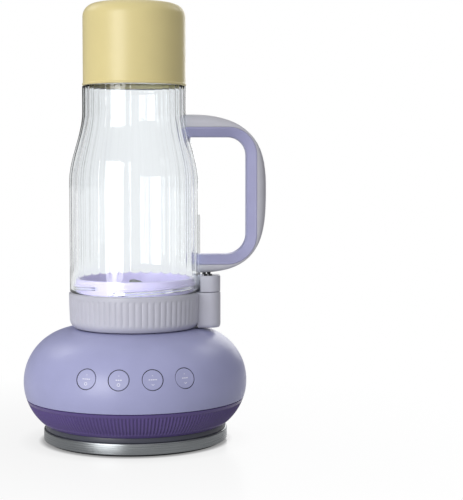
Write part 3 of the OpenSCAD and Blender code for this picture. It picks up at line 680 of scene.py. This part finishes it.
def build_foot():
    """The charcoal band, the rubber foot and the spun steel ring between them."""
    build_ring("plinth_band_skin", "plinth_band", "charcoal_plastic", (PLINTH_LOW, PLINTH_HIGH),
               13 * MM, 0.4 * MM)
    build_ring("foot_ring_skin", "foot_ring", "black_rubber", (FOOT_LOW, FOOT_HIGH),
               13.5 * MM, 0.9 * MM)
    radius, low, high = RING_HIGH.x, RING_LOW.z, RING_HIGH.z
    sheet, width = 1.2 * MM, 6 * MM
    profile = rounded([
        (radius, low, 0.5 * MM), (radius, high, 1.1 * MM), (radius - width, high, 0.3 * MM),
        (radius - width, high - sheet, 0.3 * MM), (radius - sheet, high - sheet, 0.2 * MM),
        (radius - sheet, low, 0.5 * MM)], 5)
    wear(lathe("steel_ring_spun", profile, 256), "base", "brushed_steel", "steel_ring")


# ---------- blade base ----------

COLLAR_FLUTES, COLLAR_FLUTE_DEPTH = 66, 0.5 * MM
COLLAR_TOP_Z = 106.5 * MM
SEAT_R, SEAT_Z = 46.6 * MM, 105 * MM      # seat of the rim gasket in the collar's top
TAB_ANGLE = 0.3                           # half the angle without flutes at the tab, in radians


def build_collar():
    """Ring with shallow upright flutes between two smooth bands."""
    low, high = COLLAR_LOW.z, COLLAR_TOP_Z
    inner_r, spigot_r, floor_z = 43.4 * MM, 35.1 * MM, low + 2.5 * MM

    def flutes(angle, radius, z):
        if radius < COLLAR_R - 3 * MM:
            return 0
        from_tab = abs((angle + math.pi) % (2 * math.pi) - math.pi)
        fade = smoothstep(low + 3 * MM, low + 6 * MM, z)
        fade *= 1 - smoothstep(high - 3.8 * MM, high - 2.8 * MM, z)
        fade *= smoothstep(TAB_ANGLE, TAB_ANGLE + 0.03, from_tab)
        taper = 0.6 * MM * (1 - smoothstep(low, high - 4 * MM, z))
        return -taper - COLLAR_FLUTE_DEPTH * fade * grooves(COLLAR_FLUTES, angle, 0.7)

    corners = rounded([
        (COLLAR_R, low, 6 * MM), (COLLAR_R, high, 0.5 * MM), (SEAT_R, high, 0.15 * MM),
        (SEAT_R, SEAT_Z, 0.15 * MM), (inner_r, SEAT_Z, 0.15 * MM), (inner_r, floor_z, 0.3 * MM),
        (spigot_r, floor_z, 0.3 * MM), (spigot_r, low, 0.5 * MM)], 7)
    steps = 30  # up the long outer side, where the flutes are
    profile = []
    for i, (r, z) in enumerate(corners):
        profile.append((r, z))
        next_r, next_z = corners[(i + 1) % len(corners)]
        if min(r, next_r) > COLLAR_R - 0.1 * MM and abs(next_z - z) > 10 * MM:
            profile += [(r, z + (next_z - z) * k / steps) for k in range(1, steps)]
    collar = lathe("collar_fluted", profile, COLLAR_FLUTES * 12, flutes, 50)
    wear(collar, "blade_unit", "collar_plastic", "blade_collar")


def upright_block(name, plan, low, high, edge_low, edge_high, inner_r=0.0):
    """Upright block over a plan of points, with soft lower and upper edges, kept out of inner_r."""
    outer = [x for x, _ in plan if x > inner_r]
    middle_x = sum(outer) / len(outer)
    quarter = [math.radians(15 * k) for k in range(7)]
    levels = [(edge_low * (1 - math.sin(a)), low + edge_low * (1 - math.cos(a))) for a in quarter]
    levels += [(edge_high * (1 - math.cos(a)), high - edge_high * (1 - math.sin(a)))
               for a in quarter]
    rings = []
    for inset, z in levels:
        ring = []
        for x, y in plan:
            out = Vector((x - middle_x, y))
            pulled = out * (1 - inset / max(out.length, inset))
            px, py = middle_x + pulled.x, pulled.y
            if math.hypot(px, py) < inner_r + 0.001 * MM or px < 0.95 * inner_r:
                px = math.sqrt(inner_r ** 2 - py ** 2)
            ring.append((px, py, z))
        rings.append(ring)
    return skin(name, rings)


def tab_plan(x_in, x_out, half_y):
    """Plan with round outer corners. Its inner side has points enough to follow a radius."""
    corner, steps = 9 * MM, 16
    inner_side = [(x_in, half_y * (1 - 2 * k / steps), 0) for k in range(steps + 1)]
    return rounded([(x_out, -half_y, corner), (x_out, half_y, corner), *inner_side], 12)


def build_tab():
    """Square tab of the collar, and the block on it with four small black rubber rests, whose black
    also paints the shade in the gap under the handle.
    """
    tab = upright_block("collar_tab", tab_plan(43 * MM, COLLAR_HIGH.x, 15 * MM), COLLAR_LOW.z,
                        COLLAR_HIGH.z - 0.15 * MM, 3.2 * MM, 0.5 * MM, SEAT_R)
    wear(tab, "blade_unit", "collar_plastic")
    block = upright_block("tab_block_skin", tab_plan(44 * MM, BLOCK_HIGH.x, BLOCK_HIGH.y),
                          BLOCK_LOW.z + 0.2 * MM, BLOCK_HIGH.z, 0.5 * MM, 1.1 * MM, 48.25 * MM)
    wear(block, "blade_unit", "collar_plastic", "tab_block")

    # Black rests on the block's top: partly real rests, partly painted shade of the gap under the
    # handle
    half_x, half_y, corner = 1.3 * MM, 1.6 * MM, 0.8 * MM
    low, high = BLOCK_HIGH.z - 0.3 * MM, BLOCK_HIGH.z + 1.1 * MM
    shading_rests = []
    for y in (-9.5 * MM, 9.5 * MM):
        for x in (50.2 * MM, 53.6 * MM):
            plan = rounded([(x - half_x, y - half_y, corner), (x + half_x, y - half_y, corner),
                            (x + half_x, y + half_y, corner), (x - half_x, y + half_y, corner)], 4)
            shading_rests.append(upright_block("shading_rest", plan, low, high, 0.1 * MM, 0.3 * MM))
    wear(join("tab_block_shading_rests", shading_rests), "blade_unit", "black_rubber")


THREAD_STARTS, THREAD_FIRST, THREAD_SWEEP, THREAD_LEAD = 3, 5, 110, 12 * MM


def thread_ribs(name, root_r, crest_r, z):
    """Three helical ribs that rise anticlockwise and run out at their ends."""
    root, crest = 1.1 * MM, 0.45 * MM
    section = [(root_r, z - root), (crest_r, z - crest), (crest_r, z + crest), (root_r, z + root)]
    starts = [THREAD_FIRST + 360 * k / THREAD_STARTS for k in range(THREAD_STARTS)]
    return join(name, [bend("rib", section, start, THREAD_SWEEP, 60, THREAD_LEAD, run_out=9)
                       for start in starts])


PLUG_R = 42.5 * MM
LUG_FIRST, LUG_ANGLE, LUG_REACH, LUG_H = 20, 24, 3.6 * MM, 4 * MM


def build_plug():
    """Blade base: threaded plug with a round dish inside, and the spigot with its locking lugs."""
    low, high = 92 * MM, PLUG_HIGH.z
    dish_z, dish_r, dish_round = 95 * MM, 39.8 * MM, 11.5 * MM
    hub_in, hub_out, hub_low, hub_top = 13.1 * MM, 17 * MM, 84 * MM, 98.3 * MM
    spigot_in, spigot_out, lug_low = 32.5 * MM, 35 * MM, PLUG_LOW.z
    flange = 43.3 * MM
    profile = rounded([
        (spigot_out, lug_low, 0.5 * MM), (spigot_out, low, 0.3 * MM), (flange, low, 0.3 * MM),
        (flange, SEAT_Z - 0.1 * MM, 0.3 * MM), (PLUG_R, SEAT_Z + 0.2 * MM, 0),
        (PLUG_R, high, 0.9 * MM), (dish_r, high, 0.9 * MM), (dish_r, dish_z, dish_round),
        (hub_out, dish_z, 0.8 * MM), (hub_out, hub_top, 0.8 * MM), (hub_in, hub_top, 0.3 * MM),
        (hub_in, hub_low, 0.3 * MM), (hub_out, hub_low, 0.5 * MM), (hub_out, low, 0.5 * MM),
        (spigot_in, low, 0.5 * MM), (spigot_in, lug_low, 0.5 * MM)], 9)
    lug_root, lug_tip, lug_top = spigot_out - 0.5 * MM, spigot_out + LUG_REACH, lug_low + LUG_H
    lug = rounded([(lug_root, lug_low, 0), (lug_tip, lug_low, 0.6 * MM),
                   (lug_tip, lug_top, 0.6 * MM), (lug_root, lug_top, 0)], 4)
    lugs = [bend("lug", lug, LUG_FIRST + 120 * k - LUG_ANGLE / 2, LUG_ANGLE, 16) for k in range(3)]
    ribs = thread_ribs("ribs", PLUG_R - 0.3 * MM, 43.7 * MM, 110.3 * MM)
    plug = join("blade_base_threaded", [lathe("plug", profile, 192), *lugs, ribs])
    wear(plug, "blade_unit", "lavender_plastic", "blade_base")


# ---------- tumbler ----------

JAR_FLUTES, JAR_FLUTE_DEPTH = 40, 0.4 * MM


def jar_radius(z):
    """Outer radius of the tumbler below the boot."""
    return JAR_R - (JAR_R - NECK_R) * smoothstep(SHOULDER_LOW_Z, SHOULDER_TOP_Z, z)


def build_jar():
    """Clear tumbler: fluted outside, plain inside, open at the rim that points down."""
    low, end, boot_z = JAR_LOW.z, JAR_HIGH.z, BOOT_LOW.z
    neck_r = NECK_R - 1.95 * MM  # under the boot
    inside_r, floor_z = neck_r - JAR_WALL, end - 3 * MM

    def flutes(angle, radius, z):
        if z > boot_z - 0.5 * MM or radius < jar_radius(z) - 0.3 * MM:
            return 0
        fade = smoothstep(low + 11 * MM, low + 24 * MM, z)  # plain beside the plug
        return -JAR_FLUTE_DEPTH * fade * grooves(JAR_FLUTES, angle, 0.35) * radius / JAR_R

    heights = [mix(low + 0.8 * MM, boot_z - 0.6 * MM, k / 60) for k in range(61)]
    outer = [(jar_radius(z), z) for z in heights]
    close = rounded([(neck_r, boot_z, 0), (neck_r, end, 9 * MM), (0, end, 0)], 8, closed=False)
    cap = rounded([(0, floor_z, 0), (inside_r, floor_z, 8 * MM), (inside_r, boot_z + 3 * MM, 0)],
                  8, closed=False)
    inner = [(jar_radius(z) - JAR_WALL, z) for z in reversed(heights)]
    rim = [(JAR_R - JAR_WALL + 0.5 * MM, low), (JAR_R - 0.5 * MM, low)]
    profile = outer + close + cap + inner + rim
    jar = lathe("tumbler_clear", profile, JAR_FLUTES * 14, flutes, 50)
    wear(jar, "tumbler", "clear_copolyester", "jar")
    ribs = thread_ribs("tumbler_thread", JAR_R - JAR_WALL - 0.03 * MM, 43.0 * MM, 108.3 * MM)
    wear(ribs, "tumbler", "clear_copolyester")


def build_boot():
    """Soft boot with a rounded top and a rolled lip at its open edge."""
    low, high, radius = BOOT_LOW.z, BOOT_HIGH.z, NECK_R
    wall, bead, end_wall = 1.85 * MM, 0.9 * MM, 2 * MM
    side, inside = radius - 0.6 * MM, radius - wall
    outer = rounded([(side, low + 2.4 * MM, 0), (side, high, 9.2 * MM), (0, high, 0)],
                    14, closed=False)
    inner = rounded([(0, high - end_wall, 0), (inside, high - end_wall, 8 * MM),
                     (inside, low + 0.4 * MM, 0)], 8, closed=False)
    lip = [(inside + 0.3 * MM, low)] + arc(radius - bead, low + bead, bead, -90, 75, 8)
    wear(lathe("boot_soft", outer + inner + lip, 192), "tumbler", "yellow_silicone", "boot")


# ---------- handle ----------

# Outer outline: two halves of a rounded box about a middle
HANDLE_CX, HANDLE_MID_Z = 38 * MM, 181 * MM
HANDLE_A = SHELL_HIGH.x - HANDLE_CX
HANDLE_UP, HANDLE_DOWN = SHELL_HIGH.z - HANDLE_MID_Z, HANDLE_MID_Z - SHELL_LOW.z
# Finger gap, and the grip's thickness round it, which is more on the upright
GAP_X, GAP_LOW, GAP_TOP = 78.1 * MM, 133.8 * MM, 217.8 * MM
GAP_ROUND_LOW, GAP_ROUND_TOP = 14.5 * MM, 13 * MM
GRIP_T, GRIP_MORE = 7 * MM, 2 * MM
# Where the two arms start, inside the tumbler's outline
UPPER_ARM_X, LOWER_ARM_X = 34 * MM, 42 * MM


def outline_value(x, z):
    """Below 1 inside the handle's outer outline, above 1 outside it."""
    up = z >= HANDLE_MID_Z
    half, power = (HANDLE_UP, 2.6) if up else (HANDLE_DOWN, 3.0)
    return (abs(x - HANDLE_CX) / HANDLE_A) ** power + (abs(z - HANDLE_MID_Z) / half) ** power


def seam_path():
    """(x, z) and normal along the seam between grip and shell, from the upper arm to the lower."""
    r_top, r_low = GAP_ROUND_TOP + GRIP_T, GAP_ROUND_LOW + GRIP_T
    x_out, top, low = GAP_X + GRIP_T + GRIP_MORE, GAP_TOP + GRIP_T, GAP_LOW - GRIP_T

    def corner(cx, cz, radius, start):
        """A quarter turn clockwise from an angle in degrees."""
        angles = (math.radians(start - 90 * k / 24) for k in range(25))
        return [(cx + radius * math.cos(a), cz + radius * math.sin(a), math.cos(a), math.sin(a))
                for a in angles]

    return [
        *((mix(UPPER_ARM_X, x_out - r_top, k / 14), top, 0.0, 1.0) for k in range(14)),
        *corner(x_out - r_top, top - r_top, r_top, 90),
        *((x_out, mix(top - r_top, low + r_low, k / 12), 1.0, 0.0) for k in range(1, 12)),
        *corner(x_out - r_low, low + r_low, r_low, 0),
        *((mix(x_out - r_low, LOWER_ARM_X, k / 10), low, 0.0, -1.0) for k in range(1, 11)),
    ]


def shell_depth(x, z, nx, nz):
    """Distance from the seam out to the outer outline along the normal, found by halving."""
    low, high = 0.0, 60 * MM
    for _ in range(40):
        mid = (low + high) / 2
        if outline_value(x + nx * mid, z + nz * mid) < 1:
            low = mid
        else:
            high = mid
    return low


def build_handle_layer(name, start, end, round_start, round_end, narrow, slot, node):
    """One layer of the handle between two distances from the seam.

    Its start is narrower by narrow on each side, and with no end it reaches the outline."""
    half = HANDLE_W / 2
    rings = []
    for x, z, nx, nz in seam_path():
        reach = shell_depth(x, z, nx, nz) if end is None else end
        widest = (reach - start) * 0.93  # for the rounding of an edge
        first, last = min(round_start, widest), min(round_end, widest)
        waist = [(start + 1.2 * narrow, half, 1.5 * MM)] if narrow else []
        section = rounded([
            (start, -half + narrow, first), *((d, -y, r) for d, y, r in waist),
            (reach, -half, last), (reach, half, last), *waist, (start, half - narrow, first)], 7)
        ring = []
        for depth, y in section:
            px, pz = x + nx * depth, z + nz * depth
            wall = math.sqrt((jar_radius(pz) + 0.1 * MM) ** 2 - y * y)
            ring.append((max(px, wall), y, pz))
        rings.append(ring)
    # Rings that lie wholly in the tumbler's wall repeat
    while rings[0] == rings[1]:
        rings.pop(0)
    while rings[-1] == rings[-2]:
        rings.pop()
    wear(skin(name, rings), "tumbler", slot, node)


def build_handle():
    """Grey outer shell and lavender inner grip, a hair apart at their seam."""
    gap = 0.05 * MM
    build_handle_layer("handle_outer_shell", gap, None, 0.4 * MM, 6 * MM, 0,
                       "handle_plastic", "handle_shell")
    build_handle_layer("handle_inner_grip", -GRIP_T, -gap, 2.6 * MM, 0.3 * MM, 5 * MM,
                       "grip_plastic", "handle_grip")


# ---------- carried-over CAD nodes ----------

# Widths of the soft edges, in millimetres
SOFT_EDGES = {
    "cup_socket": 0.4, "socket_seal": 0.3, "drive_coupler": 0.3, "driven_coupler": 0.3,
    "bearing_housing": 0.4, "blade_shaft": 0.15, "lower_blade": 0.2, "upper_blade": 0.2,
    "blade_nut": 0.3, "rim_gasket": 0.2, "bottom_cover": 0.4, "cover_screws": 0.15,
    "cord_gland": 0.5, "handle_screws": 0.15,
}


def finish_cad_nodes():
    """Gives every CAD node its slot's material, and softens the edges of those that can be seen."""
    slots = {s["node"]: s["material_slot"] for s in frame["record"]["subparts"]}
    for name, obj in NODES.items():
        obj.data.materials.clear()
        obj.data.materials.append(MATERIALS[slots[name]])
        if name in SOFT_EDGES:
            weld = obj.modifiers.new("weld", "WELD")
            weld.merge_threshold = 1e-6
            bevel = obj.modifiers.new("soft_edges", "BEVEL")
            bevel.width, bevel.segments, bevel.limit_method = SOFT_EDGES[name] * MM, 2, "ANGLE"
            bevel.angle_limit = math.radians(40)
            bevel.harden_normals = True
            for polygon in obj.data.polygons:
                polygon.use_smooth = True


# ---------- stage ----------


def add_floor():
    """Pale floor that fades to plain white away from the blender, with a painted contact shadow
    round it that is darkest at the foot of the steel ring.
    """
    half = 12.0
    corners = [(-half, -half, 0), (half, -half, 0), (half, half, 0), (-half, half, 0)]
    floor = make_object("floor", corners, [(0, 1, 2, 3)])
    finish = Finish("floor_white", 0.22, ior=1.4)
    finish.colour((0.36, 0.36, 0.365), 0.003, 3)
    length = finish.node("ShaderNodeVectorMath", operation="LENGTH")
    finish.join(finish.place, length.inputs[0])
    # How white the floor is at a distance from the axis, in metres; less white near the blender, a
    # painted contact shadow that is darkest at the foot of the steel ring
    fade = finish.ramp(length.outputs["Value"],
                       [(0.0655, 0.2), (0.07, 0.8), (0.085, 0.9), (0.3, 1.0)])
    # The camera and clear parts see that white, reflections a share of it, other rays a tenth
    path = finish.node("ShaderNodeLightPath")
    mirrored = finish.node("ShaderNodeMath", operation="MULTIPLY_ADD")
    finish.join(path.outputs["Is Glossy Ray"], mirrored.inputs[0])
    mirrored.inputs[1].default_value = 0.3
    finish.join(path.outputs["Is Camera Ray"], mirrored.inputs[2])
    seen = finish.node("ShaderNodeMath", operation="MAXIMUM")
    finish.join(mirrored.outputs[0], seen.inputs[0])
    finish.join(path.outputs["Is Transmission Ray"], seen.inputs[1])
    share = finish.node("ShaderNodeMix")
    share.inputs["A"].default_value = 0.1
    finish.join(seen.outputs[0], share.inputs["Factor"])
    finish.join(fade, share.inputs["B"])
    white = finish.node("ShaderNodeEmission")
    mix = finish.node("ShaderNodeMixShader")
    finish.join(share.outputs["Result"], mix.inputs["Fac"])
    finish.join(finish.shader.outputs[0], mix.inputs[1])
    finish.join(white.outputs[0], mix.inputs[2])
    finish.join(mix.outputs[0], finish.tree.nodes["Material Output"].inputs["Surface"])
    floor.data.materials.append(finish.material)


AMBIENT = 0.43                            # of the white surroundings, as light on the blender


def build_world():
    """White to the camera; reflections see a studio that is bright in front, behind and above."""
    world = bpy.data.worlds.new("studio")
    bpy.context.scene.world = world
    world.use_nodes = True
    world.cycles.sampling_method = "NONE"
    tree = world.node_tree

    def step(source, low, high, from_tone, to_tone):
        """Eases from one tone to the other as the source goes from low to high."""
        made = tree.nodes.new("ShaderNodeMapRange")
        made.interpolation_type = "SMOOTHSTEP"
        keys = ("From Min", "From Max", "To Min", "To Max")
        for key, value in zip(keys, (low, high, from_tone, to_tone)):
            made.inputs[key].default_value = value
        tree.links.new(source, made.inputs["Value"])
        return made.outputs["Result"]

    def choose(factor, otherwise, chosen):
        """One tone where the factor is 0, and another where it is 1."""
        made = tree.nodes.new("ShaderNodeMix")
        tree.links.new(factor, made.inputs["Factor"])
        for source, socket in ((otherwise, made.inputs["A"]), (chosen, made.inputs["B"])):
            if isinstance(source, float):
                socket.default_value = source
            else:
                tree.links.new(source, socket)
        return made.outputs["Result"]

    def compute(operation, *sources):
        """A maths node over one or two sources."""
        made = tree.nodes.new("ShaderNodeMath")
        made.operation = operation
        for source, socket in zip(sources, made.inputs):
            tree.links.new(source, socket)
        return made.outputs[0]

    direction = tree.nodes.new("ShaderNodeTexCoord").outputs["Generated"]
    split = tree.nodes.new("ShaderNodeSeparateXYZ")
    tree.links.new(direction, split.inputs[0])
    depth = split.outputs["Y"]
    path = tree.nodes.new("ShaderNodeLightPath")
    dark = 0.1
    back = step(depth, 0.3, 0.95, dark, 0.32)
    front = step(depth, -0.3, -0.95, dark, 0.6)
    above = step(split.outputs["Z"], 0.45, 0.8, dark, 0.85)
    bright = compute("MAXIMUM", compute("MAXIMUM", back, front), above)
    clouds = tree.nodes.new("ShaderNodeTexNoise")
    clouds.inputs["Scale"].default_value = 2.2
    clouds.inputs["Detail"].default_value = 0
    squeeze = tree.nodes.new("ShaderNodeMapping")
    squeeze.inputs["Scale"].default_value = (1, 1, 0.3)
    tree.links.new(direction, squeeze.inputs["Vector"])
    tree.links.new(squeeze.outputs["Vector"], clouds.inputs["Vector"])
    varied = compute("MULTIPLY", bright, step(clouds.outputs["Fac"], 0.38, 0.62, 0.35, 1.2))
    through = step(compute("ABSOLUTE", depth), 0.3, 0.9, 0.12, 1.0)  # dark edges in clear parts
    tone = choose(path.outputs["Is Glossy Ray"], AMBIENT, varied)
    tone = choose(path.outputs["Is Transmission Ray"], tone, through)
    tone = choose(path.outputs["Is Camera Ray"], tone, 1.0)
    tree.links.new(tone, tree.nodes["Background"].inputs["Strength"])
    tree.nodes["Background"].inputs["Color"].default_value = (1, 1, 1, 1)


MIDDLE = Vector((0, 0, 0.16))
LAMPS = (  # name, place, width, height and power
    ("key", (-0.75, -1.05, 0.36), 0.7, 0.8, 11.8),
    ("fill", (1.5, -0.7, 0.4), 0.5, 1.0, 1.5),
    ("overhead", (-0.3, 0.3, 1.4), 0.8, 0.8, 0.6),
    ("rear_left", (-0.9, 0.6, 1.0), 0.4, 0.4, 1.8),
    ("rear_right", (0.9, 0.6, 1.0), 0.4, 0.4, 1.5),
    ("rear_fill", (0.4, 1.3, 0.5), 0.8, 0.8, 4.5),
)


def add_softbox(name, place, width, height, power):
    """Rectangular lamp that faces the middle of the blender."""
    data = bpy.data.lights.new(name, "AREA")
    data.shape, data.size, data.size_y, data.energy = "RECTANGLE", width, height, power
    light = add(name, data)
    light.location = place
    light.rotation_euler = (MIDDLE - Vector(place)).to_track_quat("-Z", "Y").to_euler()
    return light


def build_stage():
    """Floor, surroundings and lamps."""
    add_floor()
    build_world()
    lamps = {name: add_softbox(name, *settings) for name, *settings in LAMPS}
    lamps["fill"].visible_glossy = False
    behind = lamps["rear_fill"]
    behind.visible_camera = behind.visible_transmission = False


CAMERA_PLACE, CAMERA_LENS = (0, -0.95, 0.1957), 94.9
CAMERA_YAW, CAMERA_PITCH = math.radians(4.19), math.radians(3.56)


def build_camera():
    """Long lens, a little above the middle of the tumbler, looking slightly down."""
    data = bpy.data.cameras.new("camera")
    data.lens = CAMERA_LENS
    data.clip_start, data.clip_end = 0.05, 50
    camera = add("camera", data)
    camera.location = CAMERA_PLACE
    level = math.cos(CAMERA_PITCH)
    look = Vector((math.sin(CAMERA_YAW) * level, math.cos(CAMERA_YAW) * level,
                   -math.sin(CAMERA_PITCH)))
    camera.rotation_euler = look.to_track_quat("-Z", "Y").to_euler()
    bpy.context.scene.camera = camera


build_camera()
build_stage()
finish_cad_nodes()
build_dome()
for button in BUTTONS:
    build_button(button)
build_lower_shell()
build_foot()
build_collar()
build_tab()
build_plug()
build_jar()
build_boot()
build_handle()
bpy.context.scene.view_settings.view_transform = "Standard"
